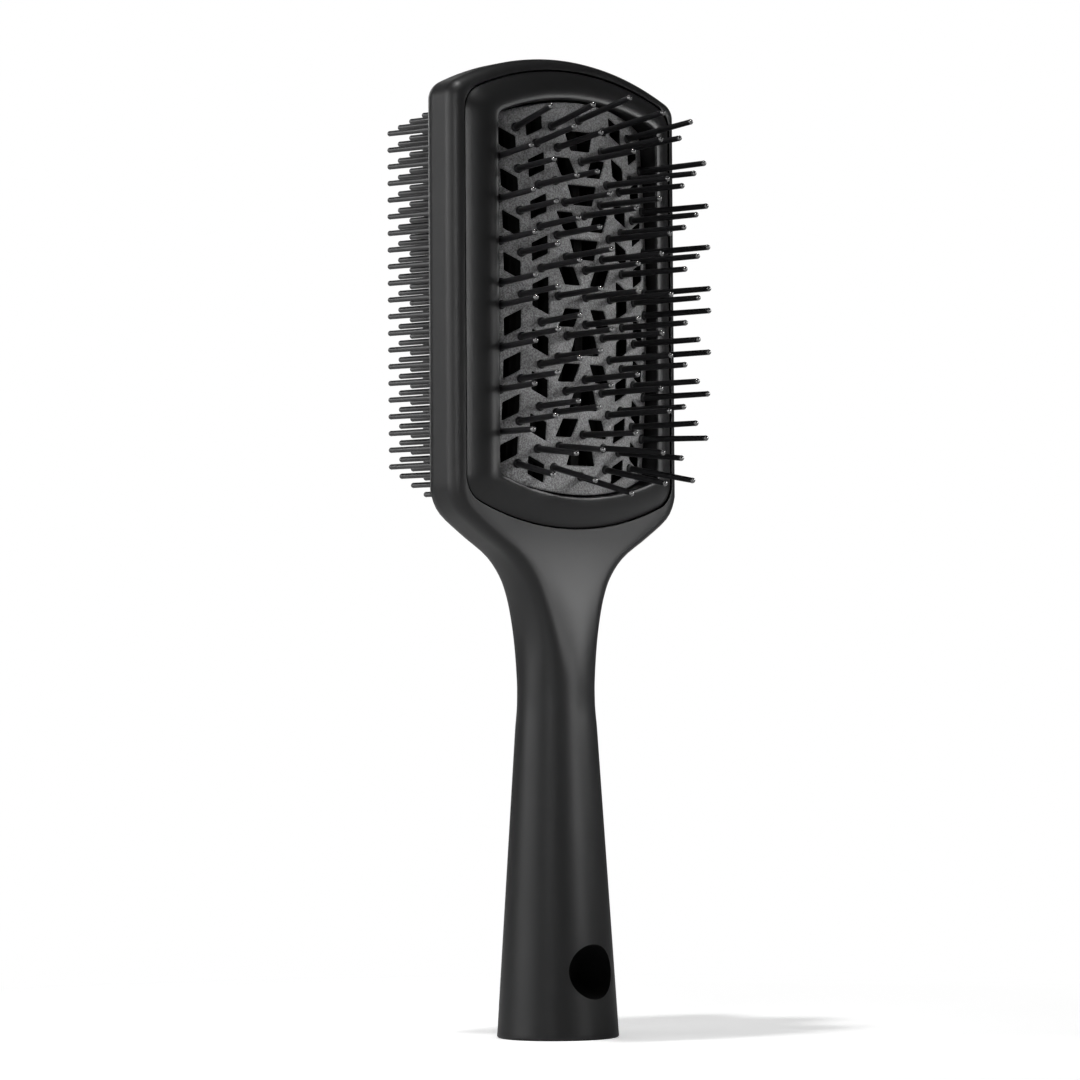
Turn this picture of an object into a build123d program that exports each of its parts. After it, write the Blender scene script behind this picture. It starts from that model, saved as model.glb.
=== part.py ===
from build123d import *
import os
from math import atan, cos, degrees, pi, radians, sin, sqrt, tan, tanh

# Two-sided hairbrush that stands on the flat foot of its handle.
# Millimetres and degrees. +Z is up, the front (vented) face looks along -Y and the
# dense rear pin field along +Y. The origin is the centre of the foot.

# ---------------------------------------------------------------- driving dimensions

# Handle, from the foot up
foot_diameter = 31.0
foot_edge_chamfer = 0.5
grip_height = 84.0              # top of the straight taper
grip_top_diameter = 20.1
waist_height = 88.5
waist_diameter = 19.75
hang_hole_diameter = 13.8
hang_hole_height = 17.0

# Neck: where its depth and its width have become the head's
neck_depth_height = 127.0
neck_width_height = 140.0
shoulder_height = 144.0
# Front outline of the neck: share of its height, share of its widening
neck_outline = ((0.15, 0.002), (0.25, 0.015), (0.35, 0.046), (0.45, 0.098), (0.50, 0.136),
                (0.55, 0.188), (0.60, 0.260), (0.65, 0.356), (0.70, 0.495), (0.75, 0.645),
                (0.80, 0.784), (0.85, 0.900), (0.895, 0.960), (0.94, 0.992), (1.0, 1.0))

# Head
head_centre_height = 187.0
head_half_height = 61.6
head_width = 74.4
head_thickness = 13.4
head_arc_radius = 78.5
head_corner_radius = 5.0
head_edge_radius = 4.0
rim_width = 3.1                 # frame left outside the bezels
web_thickness = 3.0             # wall in the middle of the head
ledge_depth = 2.2               # seat of bezel and plate, below the head's face

# Bezels
bezel_corner_radius = 7.0
opening_corner_radius = 2.5
front_bezel_width = 8.1
front_bezel_rise = 3.65
rear_bezel_width = 4.6
rear_bezel_rise = 2.3
bezel_lip = 0.5                 # flat inner lip at the top of the crown
bezel_bands = 3                 # that the crown rises in, each flatter than the one outside it
fit_clearance = 0.15            # bezel in its seat

# Plate and pad are crowned shells with a skirt, made of straight lengths and narrow flats
length_bend = 4.0               # degrees from one length to the next
shell_skirt = 0.9

# Front vent plate
plate_gap = 0.5                 # round the plate, inside its bezel
plate_thickness = 2.4
plate_crown_rise = 6.1          # above the head's face
plate_side_drop = 5.8           # of its sides below its middle line
plate_along_radius = 420.0
plate_top_flats = 13
plate_under_flats = 9

# Vents, cut straight through the plate and mirrored left, right, up and down. They and the
# front pins are one field, which is stretched to the plate
vent_height = 4.6
side_vent_x = 20.7
side_vent_width = 4.3
side_vent_slant = 2.3
side_vent_start = 7.2
mid_vent_x = 13.4
mid_vent_width = 4.5
mid_vent_slant = 2.2
mid_vent_start = 11.9
mid_vent_inner_height = 9.7     # the one at mid-height
mid_vent_outer_height = 5.4
inner_vent_x = 5.0
inner_vent_width = 4.8
inner_vent_lean = 2.0
inner_vent_start = 5.3
centre_vent_far_width = 9.3
centre_vent_near_width = 6.3
centre_vent_start = 12.1
centre_vent_height = 5.1

# Front pins: columns from the middle to the side, and the first pins of each above mid-head
outer_row_pitch = 10.6
inner_row_pitch = 13.9
middle_column_start = 6.9
middle_column_end = 45.3        # the last pin, nearer than a full pitch
middle_column_margin = 4.6      # from there to the plate's end
inner_column_x = 7.2
inner_column_stagger = 1.3      # its pins stand this far left and right of its middle
inner_column_far_start = 15.4
inner_column_near_start = 10.0
mid_column_x = 13.3
mid_column_start = 6.8
outer_column_x = 18.5
side_column_x = 23.7
side_column_start = 2.8
side_column_margin = 1.8        # from there to the plate's side
front_pin_sides = 3
front_pin_radius = 0.95         # of the circle through the corners
front_pin_tip_radius = 0.80
front_pin_length = 20.9         # from the face of the plate to the tip
pin_hole_clearance = 0.15
fan_limit = 14.5                # the pins lean out by up to this, to both sides
fan_reach = 12.0                # how fast they reach it
end_fan_start = 33.0            # beyond this height from mid-head front pins lean along it too
end_fan_length = 12.0
top_end_fan = 10.0
bottom_end_fan = 14.5
pin_root_depth = 1.0            # inside their rib
rib_width = 2.6
rib_clearance = 0.3             # below the plate, and at both ends

# Rear pin pad: a crowned shell in upright slices, each with one column of pins
pad_gap = 0.3
pad_thickness = 2.4
pad_crown_rise = 5.3            # above the head's face
pad_side_drop = 5.9             # of its sides below its middle line
pad_along_radius = 6000.0       # almost straight
rear_column_count = 13
rear_row_pitch = 4.27
rear_row_offset = 0.7           # the field sits this much above mid-head
rear_pin_sides = 3
rear_pin_radius = 0.80
rear_pin_tip_radius = 0.60
rear_pin_length = 21.0
rear_pin_margin = 2.2           # from the pad's outline to the first pins

# ---------------------------------------------------------------- derived

half_thickness = head_thickness / 2
web_face = web_thickness / 2
ledge = half_thickness - ledge_depth
front_opening_inset = rim_width + front_bezel_width
rear_opening_inset = rim_width + rear_bezel_width
plate_inset = front_opening_inset + plate_gap
pad_inset = rear_opening_inset + pad_gap
plate_half_width = head_width / 2 - plate_inset
pad_half_width = head_width / 2 - pad_inset
plate_crown = half_thickness + plate_crown_rise
pad_crown = half_thickness + pad_crown_rise
across_stretch = plate_half_width / (side_column_x + side_column_margin)
along_stretch = (head_half_height - plate_inset) / (middle_column_end + middle_column_margin)
almost_flat = 0.999             # from this share on the neck's faces are drawn straight

# Both faces of the head are drawn with x across, y up and z outwards, then put here
front_face = Plane(origin=(0, 0, head_centre_height), x_dir=(1, 0, 0), z_dir=(0, -1, 0))
rear_face = Plane(origin=(0, 0, head_centre_height), x_dir=(-1, 0, 0), z_dir=(0, 1, 0))


def smooth_step(share):
    """0 to 1 with level ends."""
    share = min(max(share, 0.0), 1.0)
    return share * share * (3 - 2 * share)


# ---------------------------------------------------------------- head outlines

def arch_reach(inset, x):
    """Height of the head's arched end over its middle, at x, on the outline drawn in by inset."""
    radius = head_arc_radius - inset
    return head_half_height - inset - radius + sqrt(radius ** 2 - x ** 2)


def head_outline(inset, corner_radius):
    """The head's front outline drawn in by inset, with an arch at both ends."""
    half_width = head_width / 2 - inset
    apex = head_half_height - inset
    corner = arch_reach(inset, half_width)
    upper = ThreePointArc((-half_width, corner), (0, apex), (half_width, corner))
    right = Line((half_width, corner), (half_width, -corner))
    lower = ThreePointArc((half_width, -corner), (0, -apex), (-half_width, -corner))
    left = Line((-half_width, -corner), (-half_width, corner))
    face = make_face(upper + right + lower + left)
    return fillet(face.vertices(), corner_radius)


def outline_block(inset, corner_radius, low, high):
    """That outline as a block between two depths."""
    return extrude(Pos(0, 0, low) * head_outline(inset, corner_radius), high - low)


def crown_depth(surface, x, y):
    """Depth of a crowned surface at one place."""
    crown, across_radius, along_radius = surface
    across = across_radius - sqrt(across_radius ** 2 - x ** 2)
    return crown - along_radius + sqrt((along_radius - across) ** 2 - y ** 2)


def crowned(crown, half_width, side_drop, along_radius):
    """A surface by its crown and both radii, the one across from how far its sides drop."""
    return crown, (half_width ** 2 + side_drop ** 2) / (2 * side_drop), along_radius


plate_surface = crowned(plate_crown, plate_half_width, plate_side_drop, plate_along_radius)
pad_surface = crowned(pad_crown, pad_half_width, pad_side_drop, pad_along_radius)


def lowered(surface, depth):
    """The crowned surface that lies that far inside."""
    return tuple(size - depth for size in surface)


def under_crown(surface, half_width, flats):
    """Everything below a crowned surface that has that many flats across the head."""
    crown, _, along_radius = surface
    steps = [half_width * (2 * flat / flats - 1) for flat in range(flats + 1)]
    top = [(x, crown_depth(surface, x, 0)) for x in steps]
    section = Polyline(*top, (half_width, -head_thickness), (-half_width, -head_thickness),
                       close=True)
    swing = degrees(2 * head_half_height / along_radius)
    lengths = max(1, round(swing / length_bend))
    lower = along_radius * (1 - cos(radians(swing / lengths / 2)))
    bar = extrude(Plane.XZ * Pos(0, -lower) * make_face(section), 3 * head_half_height, both=True)
    axis = Axis((0, 0, crown - along_radius), (1, 0, 0))
    turns = [swing / lengths * (length - (lengths - 1) / 2) for length in range(lengths)]
    solid = bar.rotate(axis, turns[0])
    for turn in turns[1:]:
        solid &= bar.rotate(axis, turn)
    return solid


def crowned_shell(inset, thickness, surface, top_flats, under_flats):
    """A crowned plate with a skirt round it that stands on the ledge."""
    half_width = head_width / 2 - inset
    outer = outline_block(inset, opening_corner_radius, ledge, surface[0] + 1)
    outer &= under_crown(surface, half_width, top_flats)
    inner = outline_block(inset + shell_skirt, opening_corner_radius, ledge - 1, surface[0])
    return outer - (inner & under_crown(lowered(surface, thickness), half_width, under_flats))


# ---------------------------------------------------------------- body frame

def body_section(height, half_width, half_depth, flat):
    """Eight edges: a circle in the grip, a rounded rectangle in the head, a blend between."""

    def point(angle, square_x, square_y):
        round_x, round_y = half_width * cos(radians(angle)), half_depth * sin(radians(angle))
        return round_x + (square_x - round_x) * flat, round_y + (square_y - round_y) * flat

    bend = head_edge_radius * (1 - cos(radians(45)))
    side_end = point(30, half_width, half_depth - head_edge_radius)
    middle = point(45, half_width - bend, half_depth - bend)
    face_end = point(60, half_width - head_edge_radius, half_depth)
    edges = []
    for turn_x, turn_y in ((1, 1), (-1, 1), (-1, -1), (1, -1)):
        corner = [(turn_x * x, turn_y * y) for x, y in (side_end, middle, face_end)]
        if turn_x * turn_y < 0:
            corner.reverse()
        edges.append(ThreePointArc(*corner))
        start, end = corner[2], (turn_x * turn_y * -corner[2][0], turn_x * turn_y * corner[2][1])
        crest = (0, turn_y * half_depth) if turn_x * turn_y > 0 else (turn_x * half_width, 0)
        straight = flat > almost_flat
        edges.append(Line(start, end) if straight else ThreePointArc(start, crest, end))
    return Pos(0, 0, height) * make_face(edges)


def handle():
    """Bevelled foot, straight taper, waist, and a neck that widens into the head's shoulders."""
    foot, waist = foot_diameter / 2, waist_diameter / 2
    rings = ((0.0, foot - foot_edge_chamfer), (foot_edge_chamfer, foot),
             (grip_height, grip_top_diameter / 2), (waist_height, waist))
    sections = [body_section(height, radius, radius, 0.0) for height, radius in rings]
    for rise, share in neck_outline:
        height = waist_height + rise * (neck_width_height - waist_height)
        flat = smooth_step((height - waist_height) / (neck_depth_height - waist_height))
        half_width = waist + (head_width / 2 - waist) * share
        half_depth = waist + (half_thickness - waist) * flat
        sections.append(body_section(height, half_width, half_depth, flat))
    sections.append(body_section(shoulder_height, head_width / 2, half_thickness, 1.0))
    return loft(sections, ruled=True)


def head_slab():
    """The head above its shoulders, rounded all round its edge."""
    half_width = head_width / 2
    low = shoulder_height - head_centre_height
    corner = arch_reach(0, half_width)
    arch = ThreePointArc((-half_width, corner), (0, head_half_height), (half_width, corner))
    sides = Polyline((half_width, corner), (half_width, low), (-half_width, low),
                     (-half_width, corner))
    face = make_face(arch + sides)
    face = fillet(face.vertices().group_by(Axis.Y)[-1], head_corner_radius)
    slab = extrude(Pos(0, 0, -half_thickness) * face, head_thickness)
    rims = [edge for edge in slab.edges()
            if abs(abs(edge.center().Z) - half_thickness) < 1e-6 and edge.center().Y > low + 1e-6]
    return front_face * fillet(rims, head_edge_radius)


def seat(opening_inset, skirt_width):
    """Pocket in one face of the head: the ledge for bezel and plate, and the well to the web."""
    top = half_thickness + head_thickness
    rebate = outline_block(rim_width, bezel_corner_radius, ledge, top)
    well = outline_block(opening_inset + skirt_width, opening_corner_radius, web_face, top)
    return rebate + well


def body_frame():
    body = handle() + head_slab()
    body -= front_face * seat(front_opening_inset, plate_gap + shell_skirt + rib_clearance)
    body -= rear_face * seat(rear_opening_inset, pad_gap + shell_skirt + rib_clearance)
    hole = Cylinder(hang_hole_diameter / 2, 2 * foot_diameter)
    return body - Pos(0, 0, hang_hole_height) * Rot(90, 0, 0) * hole


# ---------------------------------------------------------------- bezels

def bezel(width, rise):
    """A ring whose crown swells from the parting line to its inner lip."""
    inset = rim_width + fit_clearance
    base = outline_block(inset, bezel_corner_radius, ledge, half_thickness)
    crown_width = width - fit_clearance - bezel_lip
    sections = []
    for band in range(bezel_bands + 1):
        share = band / bezel_bands
        corner = bezel_corner_radius + (opening_corner_radius - bezel_corner_radius) * share
        depth = half_thickness + rise * sin(pi / 2 * share)
        sections.append(Pos(0, 0, depth) * head_outline(inset + crown_width * share, corner))
    ring = base + loft(sections, ruled=True)
    return ring - outline_block(rim_width + width, opening_corner_radius, 0, 2 * head_thickness)


# ---------------------------------------------------------------- pins

def rows(start, pitch, count):
    """Heights above mid-head and their mirror images below it."""
    above = [start + pitch * index for index in range(count)]
    return above + [-height for height in above]


def pin_lean(x):
    """Unit direction of a pin that leaves its face at x, leaning out to the side."""
    across = radians(fan_limit * tanh(x / fan_reach))
    return Vector(tan(across), 0, 1).normalized()


def front_pin_lean(x, y):
    """The same with the lean along the head that the front pins take on towards its ends."""
    across = pin_lean(x)
    beyond = max(0.0, abs(y) - end_fan_start) / end_fan_length
    along = radians(top_end_fan if y > 0 else -bottom_end_fan) * min(beyond, 1.0)
    return Vector(across.X, across.Z * tan(along), across.Z).normalized()


def strand(sides, radius, tip_radius, length):
    """A tapered pin along z with flat sides."""
    narrowing = (radius - tip_radius) * cos(pi / sides)
    return extrude(RegularPolygon(radius, sides), length, taper=degrees(atan(narrowing / length)))


def pin_place(surface, x, y, lean, sink):
    """Where a pin starts: sink below the surface, looking along its lean."""
    face_point = Vector(x, y, crown_depth(surface, x, y))
    return Plane(origin=face_point - lean * sink, x_dir=(1, 0, 0) if lean.X == 0
                 else Vector(lean.Z, 0, -lean.X), z_dir=lean)


def front_columns():
    """All nine front columns from left to right: x and width of the rib, and its pins."""
    far, near = inner_column_x + inner_column_stagger, inner_column_x - inner_column_stagger
    last = inner_column_near_start + 2 * inner_row_pitch
    staggered = ([(far, y) for y in [0.0] + rows(inner_column_far_start, inner_row_pitch, 3)]
                 + [(near, y) for y in rows(inner_column_near_start, inner_row_pitch, 2)]
                 + [(inner_column_x, last), (inner_column_x, -last)])
    middle = [0.0, middle_column_end, -middle_column_end]
    middle += rows(middle_column_start, inner_row_pitch, 3)
    right = [(inner_column_x, rib_width + 2 * inner_column_stagger, staggered)]
    for x, heights in ((mid_column_x, rows(mid_column_start, outer_row_pitch, 4)),
                       (outer_column_x, [0.0] + rows(outer_row_pitch, outer_row_pitch, 4)),
                       (side_column_x, rows(side_column_start, outer_row_pitch, 4))):
        right.append((x, rib_width, [(x, y) for y in heights]))
    left = [(-x, width, [(-px, y) for px, y in pins]) for x, width, pins in right[::-1]]
    columns = left + [(0.0, rib_width, [(0.0, y) for y in middle])] + right
    return [(x * across_stretch, width, [(px * across_stretch, y * along_stretch)
                                         for px, y in pins]) for x, width, pins in columns]


# ---------------------------------------------------------------- front plate and ribs

def vent(points):
    """A vent through the plate, from its corners."""
    corners = [(x * across_stretch, y * along_stretch) for x, y in points]
    return extrude(make_face(Polyline(*corners, close=True)), 2 * head_thickness)


def quadrant_vents():
    """The vents right of and above the middle, with the two that lie on the middle lines."""
    vents = []
    half = vent_height / 2
    for y in (side_vent_start + outer_row_pitch * index for index in range(4)):
        low, high = side_vent_x - side_vent_width / 2, side_vent_x + side_vent_width / 2
        slant = side_vent_slant / 2
        vents.append([(low, y - half - slant), (high, y - half + slant),
                      (high, y + half + slant), (low, y + half - slant)])
    for y in (mid_vent_start + outer_row_pitch * index for index in range(4)):
        low, high = mid_vent_x - mid_vent_width / 2, mid_vent_x + mid_vent_width / 2
        slant = mid_vent_slant / 2
        vents.append([(low, y - half + slant), (high, y - half - slant),
                      (high, y + half - slant), (low, y + half + slant)])
    for y in (inner_vent_start + inner_row_pitch * index for index in range(3)):
        low, high = inner_vent_x - inner_vent_width / 2, inner_vent_x + inner_vent_width / 2
        lean = inner_vent_lean / 2
        vents.append([(low - lean, y - half), (high - lean, y - half),
                      (high + lean, y + half), (low + lean, y + half)])
    return vents


def middle_vents():
    """The wide vents on the upright middle line, and the tall ones at mid-height."""
    vents = []
    for index in range(3):
        y = centre_vent_start + inner_row_pitch * index
        low, high = y - centre_vent_height / 2, y + centre_vent_height / 2
        near, far = centre_vent_near_width / 2, centre_vent_far_width / 2
        for side in (1, -1):
            vents.append([(-near, side * low), (near, side * low),
                          (far, side * high), (-far, side * high)])
    inner, outer = mid_vent_x - mid_vent_width / 2, mid_vent_x + mid_vent_width / 2
    tall, short = mid_vent_inner_height / 2, mid_vent_outer_height / 2
    for side in (1, -1):
        vents.append([(side * inner, -tall), (side * outer, -short),
                      (side * outer, short), (side * inner, tall)])
    return vents


def pin_holes():
    """A straight hole along each front pin, with clearance round it."""
    depth = 3 * plate_thickness
    hole = extrude(RegularPolygon(front_pin_radius + pin_hole_clearance, front_pin_sides), 2 * depth)
    return [pin_place(plate_surface, x, y, front_pin_lean(x, y), depth) * hole
            for _, _, pins in front_columns() for x, y in pins]


def front_vent_plate():
    plate = crowned_shell(plate_inset, plate_thickness, plate_surface, plate_top_flats,
                          plate_under_flats)
    cutters = [vent(points) for points in middle_vents()]
    for points in quadrant_vents():
        for right in (1, -1):
            for up in (1, -1):
                cutters.append(vent([(right * x, up * y) for x, y in points]))
    return plate - cutters - pin_holes()


def front_pin_rib(x, width, pins):
    """An upright rib on the web, its top close under the plate, with one column of pins."""
    under = plate_thickness + rib_clearance
    rib = outline_block(plate_inset + shell_skirt + 2 * rib_clearance, opening_corner_radius,
                        web_face, plate_crown)
    rib &= under_crown(lowered(plate_surface, under), plate_half_width, plate_under_flats)
    rib &= Pos(x, 0, plate_crown / 2) * Box(width, 2 * head_half_height, 2 * plate_crown)
    sink = under + pin_root_depth
    pin = strand(front_pin_sides, front_pin_radius, front_pin_tip_radius, front_pin_length + sink)
    return rib + [pin_place(plate_surface, px, y, front_pin_lean(px, y), sink) * pin
                  for px, y in pins]


# ---------------------------------------------------------------- rear pin pad

def rear_column_x(index):
    """Middle of one rear slice."""
    pitch = 2 * pad_half_width / rear_column_count
    return (index - (rear_column_count - 1) / 2) * pitch, pitch


def rear_pin_heights(index):
    """Heights of the pins of one slice, every other slice shifted by half a row."""
    x, _ = rear_column_x(index)
    reach = arch_reach(pad_inset, abs(x)) - rear_pin_margin
    shift = rear_row_offset + (rear_row_pitch / 2 if index % 2 else 0.0)
    count = int(2 * head_half_height / rear_row_pitch)
    lattice = [shift + rear_row_pitch * (row - count // 2) for row in range(count + 1)]
    return [y for y in lattice if abs(y) < reach]


def rear_pin_strips():
    """The pad cut into upright slices, each fused with its column of pins."""
    pad = crowned_shell(pad_inset, pad_thickness, pad_surface, rear_column_count,
                        rear_column_count)
    sink = pad_thickness / 2
    pin = strand(rear_pin_sides, rear_pin_radius, rear_pin_tip_radius, rear_pin_length + sink)
    strips = []
    for index in range(rear_column_count):
        x, pitch = rear_column_x(index)
        piece = pad & (Pos(x, 0, 0) * Box(pitch, 3 * head_half_height, 4 * pad_crown))
        pins = [pin_place(pad_surface, x, y, pin_lean(x), sink) * pin
                for y in rear_pin_heights(index)]
        strips.append(piece + pins)
    return strips


# ---------------------------------------------------------------- files

def build():
    nodes = {
        "body_frame": body_frame(),
        "front_bezel": front_face * bezel(front_bezel_width, front_bezel_rise),
        "rear_bezel": rear_face * bezel(rear_bezel_width, rear_bezel_rise),
        "front_vent_plate": front_face * front_vent_plate(),
    }
    for number, column in enumerate(front_columns(), start=1):
        nodes[f"front_pin_rib_{number}"] = front_face * front_pin_rib(*column)
    for number, strip in enumerate(rear_pin_strips(), start=1):
        nodes[f"rear_pin_strip_{number:02d}"] = rear_face * strip
    return nodes


os.makedirs("parts", exist_ok=True)
for name, shape in build().items():
    export_step(shape, f"parts/{name}.step")
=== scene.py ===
"""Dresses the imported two-sided hairbrush: moulded body, bezels, vented plate, pad and round pins.

Metres, in the frame of the CAD model: +Z up from the foot, the vented front towards -Y, the rear
pin field towards +Y. Both faces of the head are drawn with x across, y up from mid-head and z
outwards, and are then put in place by front() and rear().
"""
from math import acos, atan2, cos, inf, pi, radians, sin, sqrt, tan, tanh

import bmesh
import bpy
from mathutils import Matrix, Vector


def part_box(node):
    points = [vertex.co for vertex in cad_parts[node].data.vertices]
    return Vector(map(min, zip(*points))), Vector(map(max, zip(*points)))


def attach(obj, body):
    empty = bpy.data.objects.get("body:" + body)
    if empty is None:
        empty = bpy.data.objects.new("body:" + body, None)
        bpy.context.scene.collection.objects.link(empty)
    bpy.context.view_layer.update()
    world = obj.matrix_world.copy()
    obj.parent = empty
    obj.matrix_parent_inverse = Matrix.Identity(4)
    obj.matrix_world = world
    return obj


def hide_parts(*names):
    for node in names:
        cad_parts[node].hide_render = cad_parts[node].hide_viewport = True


bl_info = {
    "name": "Two-sided Hairbrush",
    "version": (1, 0, 0),
    "blender": (4, 5, 0),
    "location": "View3D > Sidebar > Hairbrush",
    "description": "Builds a two-sided vented hairbrush over its packed CAD model",
    "category": "Object",
}

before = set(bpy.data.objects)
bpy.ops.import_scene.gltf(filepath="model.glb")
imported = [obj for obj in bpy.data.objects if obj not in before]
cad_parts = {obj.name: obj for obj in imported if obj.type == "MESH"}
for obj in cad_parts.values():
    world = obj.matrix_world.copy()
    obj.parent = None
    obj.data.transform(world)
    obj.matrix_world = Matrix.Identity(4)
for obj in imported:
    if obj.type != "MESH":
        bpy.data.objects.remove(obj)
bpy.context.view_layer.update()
BODY_LOW, BODY_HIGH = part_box("body_frame")
MM = 0.001


# ------------------------ settings

def length(name, default, description):
    return bpy.props.FloatProperty(name=name, description=description, default=default,
                                   unit="LENGTH", precision=5)


def angle(name, default, description):
    return bpy.props.FloatProperty(name=name, description=description, default=radians(default),
                                   unit="ROTATION", subtype="ANGLE")


def colour(name, default, description):
    return bpy.props.FloatVectorProperty(name=name, description=description, default=default,
                                         size=4, min=0.0, max=1.0, subtype="COLOR")


class HairbrushBodySettings(bpy.types.PropertyGroup):
    """Handle, neck and head frame."""
    foot_diameter: length("Foot diameter", 0.031, "Across the flat foot")
    foot_bevel: length("Foot bevel", 0.0006, "Rounding of the foot's edge")
    grip_height: length("Grip height", 0.084, "Top of the straight taper")
    grip_top_diameter: length("Grip top diameter", 0.0201, "Across the top of the taper")
    waist_height: length("Waist height", 0.0885, "Narrowest place of the handle")
    waist_diameter: length("Waist diameter", 0.01975, "Across the waist")
    neck_depth_height: length("Neck depth height", 0.127, "Where the neck is as thin as the head")
    neck_width_height: length("Neck width height", 0.140, "Where the neck is as wide as the head")
    shoulder_height: length("Shoulder height", 0.144, "Where the head's straight sides begin")
    hole_diameter: length("Hang hole diameter", 0.0138, "Bore through the lower handle")
    hole_height: length("Hang hole height", 0.017, "Middle of the bore above the foot")
    head_centre: length("Head centre", 0.187, "Middle of the head above the foot")
    head_half_height: length("Head half height", 0.0616, "From mid-head to the top")
    head_width: length("Head width", BODY_HIGH[0] - BODY_LOW[0], "Across the head")
    head_thickness: length("Head thickness", 0.0134, "Between the head's two faces")
    arc_radius: length("End arch radius", 0.0785, "Of the arched ends of the head")
    corner_radius: length("Corner radius", 0.005, "Of the head's outline")
    edge_radius: length("Edge radius", 0.004, "Rounding all round the head")
    rim_width: length("Rim width", 0.0031, "Frame left outside the bezels")
    ledge_depth: length("Ledge depth", 0.0022, "Seat of bezel and plate under the face")
    web_thickness: length("Web thickness", 0.003, "Wall in the middle of the head")


class HairbrushBezelSettings(bpy.types.PropertyGroup):
    """The raised rings round both faces."""
    front_width: length("Front width", 0.0081, "Of the front ring")
    front_rise: length("Front rise", 0.00365, "Of the front ring above the head's face")
    rear_width: length("Rear width", 0.0046, "Of the rear ring")
    rear_rise: length("Rear rise", 0.0023, "Of the rear ring above the head's face")
    outer_corner: length("Outer corner", 0.007, "Outline corner at the parting line")
    opening_corner: length("Opening corner", 0.0025, "Outline corner of the openings")
    groove: length("Parting groove", 0.00045, "Gap between rim and ring")
    lip_rounding: length("Lip rounding", 0.0005, "Rounding of the inner lip")


class HairbrushPlateSettings(bpy.types.PropertyGroup):
    """Front vent plate and rear pad."""
    gap: length("Plate gap", 0.0005, "Between plate and bezel")
    thickness: length("Plate thickness", 0.0024, "Of the vented plate")
    crown: length("Plate crown", 0.0128, "Highest place above the head's middle plane")
    across: length("Plate radius across", 0.059, "Curve from side to side")
    along: length("Plate radius along", 0.420, "Curve from end to end")
    vent_bevel: length("Vent bevel", 0.00034, "Rounding of the vent edges")
    vent_corner: length("Vent corner", 0.00035, "Corner radius of the vents")
    pad_gap: length("Pad gap", 0.0003, "Between pad and bezel")
    pad_crown: length("Pad crown", 0.012, "Highest place above the head's middle plane")
    pad_across: length("Pad radius across", 0.075, "Curve from side to side")
    pad_along: length("Pad radius along", 6.0, "Curve from end to end")


class HairbrushPinSettings(bpy.types.PropertyGroup):
    """Front and rear pins."""
    front_root: length("Front pin root", 0.00165, "Diameter at the plate")
    front_tip: length("Front pin tip", 0.00142, "Diameter under the ball")
    front_ball: length("Front ball tip", 0.00150, "Diameter of the rounded end")
    front_length: length("Front pin length", 0.0209, "From the plate to the end")
    rear_root: length("Rear pin root", 0.00155, "Diameter at the pad")
    rear_tip: length("Rear pin tip", 0.00138, "Diameter under the ball")
    rear_ball: length("Rear ball tip", 0.00146, "Diameter of the rounded end")
    rear_length: length("Rear pin length", 0.0210, "From the pad to the end")
    fan_limit: angle("Fan", 14.5, "The pins lean out by up to this, to both sides")
    fan_reach: length("Fan reach", 0.012, "How fast the pins reach their lean")
    end_fan_start: length("End fan start", 0.033, "Beyond this the pins lean along the head")
    end_fan_length: length("End fan length", 0.012, "Over which that lean grows")
    top_end_fan: angle("Top end fan", 10.0, "Lean of the topmost pins")
    bottom_end_fan: angle("Bottom end fan", 14.5, "Lean of the lowest pins")
    rear_pitch: length("Rear row pitch", 0.00427, "Between the rows of the rear field")
    rear_offset: length("Rear row offset", 0.0007, "Of the rear field above mid-head")
    rear_margin: length("Rear margin", 0.0022, "From the pad's outline to the first pins")


class HairbrushFinishSettings(bpy.types.PropertyGroup):
    """Colours of the finishes."""
    body: colour("Body", (0.0130, 0.0130, 0.0135, 1.0), "Soft-touch body")
    bezel: colour("Bezels", (0.0125, 0.0125, 0.0130, 1.0), "Smoother soft-touch rings")
    # Painted light: the plate is black plastic like the body, painted mid grey to stand in for the
    # light that its grain scatters
    plate: colour("Plate", (0.125, 0.125, 0.127, 1.0), "Grained plate")
    pins: colour("Pins", (0.009, 0.009, 0.010, 1.0), "Satin nylon pins")
    # Painted light: the same nylon as the front pins, painted lighter to stand in for the light
    # that falls on the rear pins from the left
    fine_pins: colour("Fine pins", (0.016, 0.016, 0.017, 1.0), "Satin nylon pins at the back")
    pad: colour("Pad", (0.018, 0.018, 0.019, 1.0), "Rubber pad")
    # Painted shade: the vent walls, the plate's underside, the ribs, the seats' wells and the hang
    # hole's bore are painted near-black for the shade deep in them
    inside: colour("Inside", (0.003, 0.003, 0.003, 1.0), "Ribs, wells and walls of the vents")


class HairbrushStageSettings(bpy.types.PropertyGroup):
    """Camera and floor."""
    azimuth: angle("Azimuth", -40.0, "Camera round the brush")
    distance: length("Distance", 1.097, "Camera from the handle's axis")
    height: length("Height", 0.0768, "Camera above the foot")
    lens_mm: bpy.props.FloatProperty(name="Lens", description="Focal length on a 36 mm sensor",
                                     default=143.7)
    horizon_share: bpy.props.FloatProperty(
        name="Horizon", description="Horizon below the picture's middle, as a share of its side",
        default=0.1795)
    axis_share: bpy.props.FloatProperty(
        name="Axis", description="Handle's axis right of the picture's middle, as a share",
        default=0.0138)
    floor_lift: bpy.props.FloatProperty(
        name="Floor lift", description="Added to the floor that the camera sees", default=0.47)
    roll: angle("Roll", -0.36, "Camera turned about its view")


GROUPS = {
    "body": HairbrushBodySettings,
    "bezel": HairbrushBezelSettings,
    "plate": HairbrushPlateSettings,
    "pins": HairbrushPinSettings,
    "finish": HairbrushFinishSettings,
    "stage": HairbrushStageSettings,
}


def settings(group):
    """The values of one group, as they stand in the sidebar."""
    return getattr(bpy.context.scene, "hairbrush_" + group)


# ------------------------ outlines and curves

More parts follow.
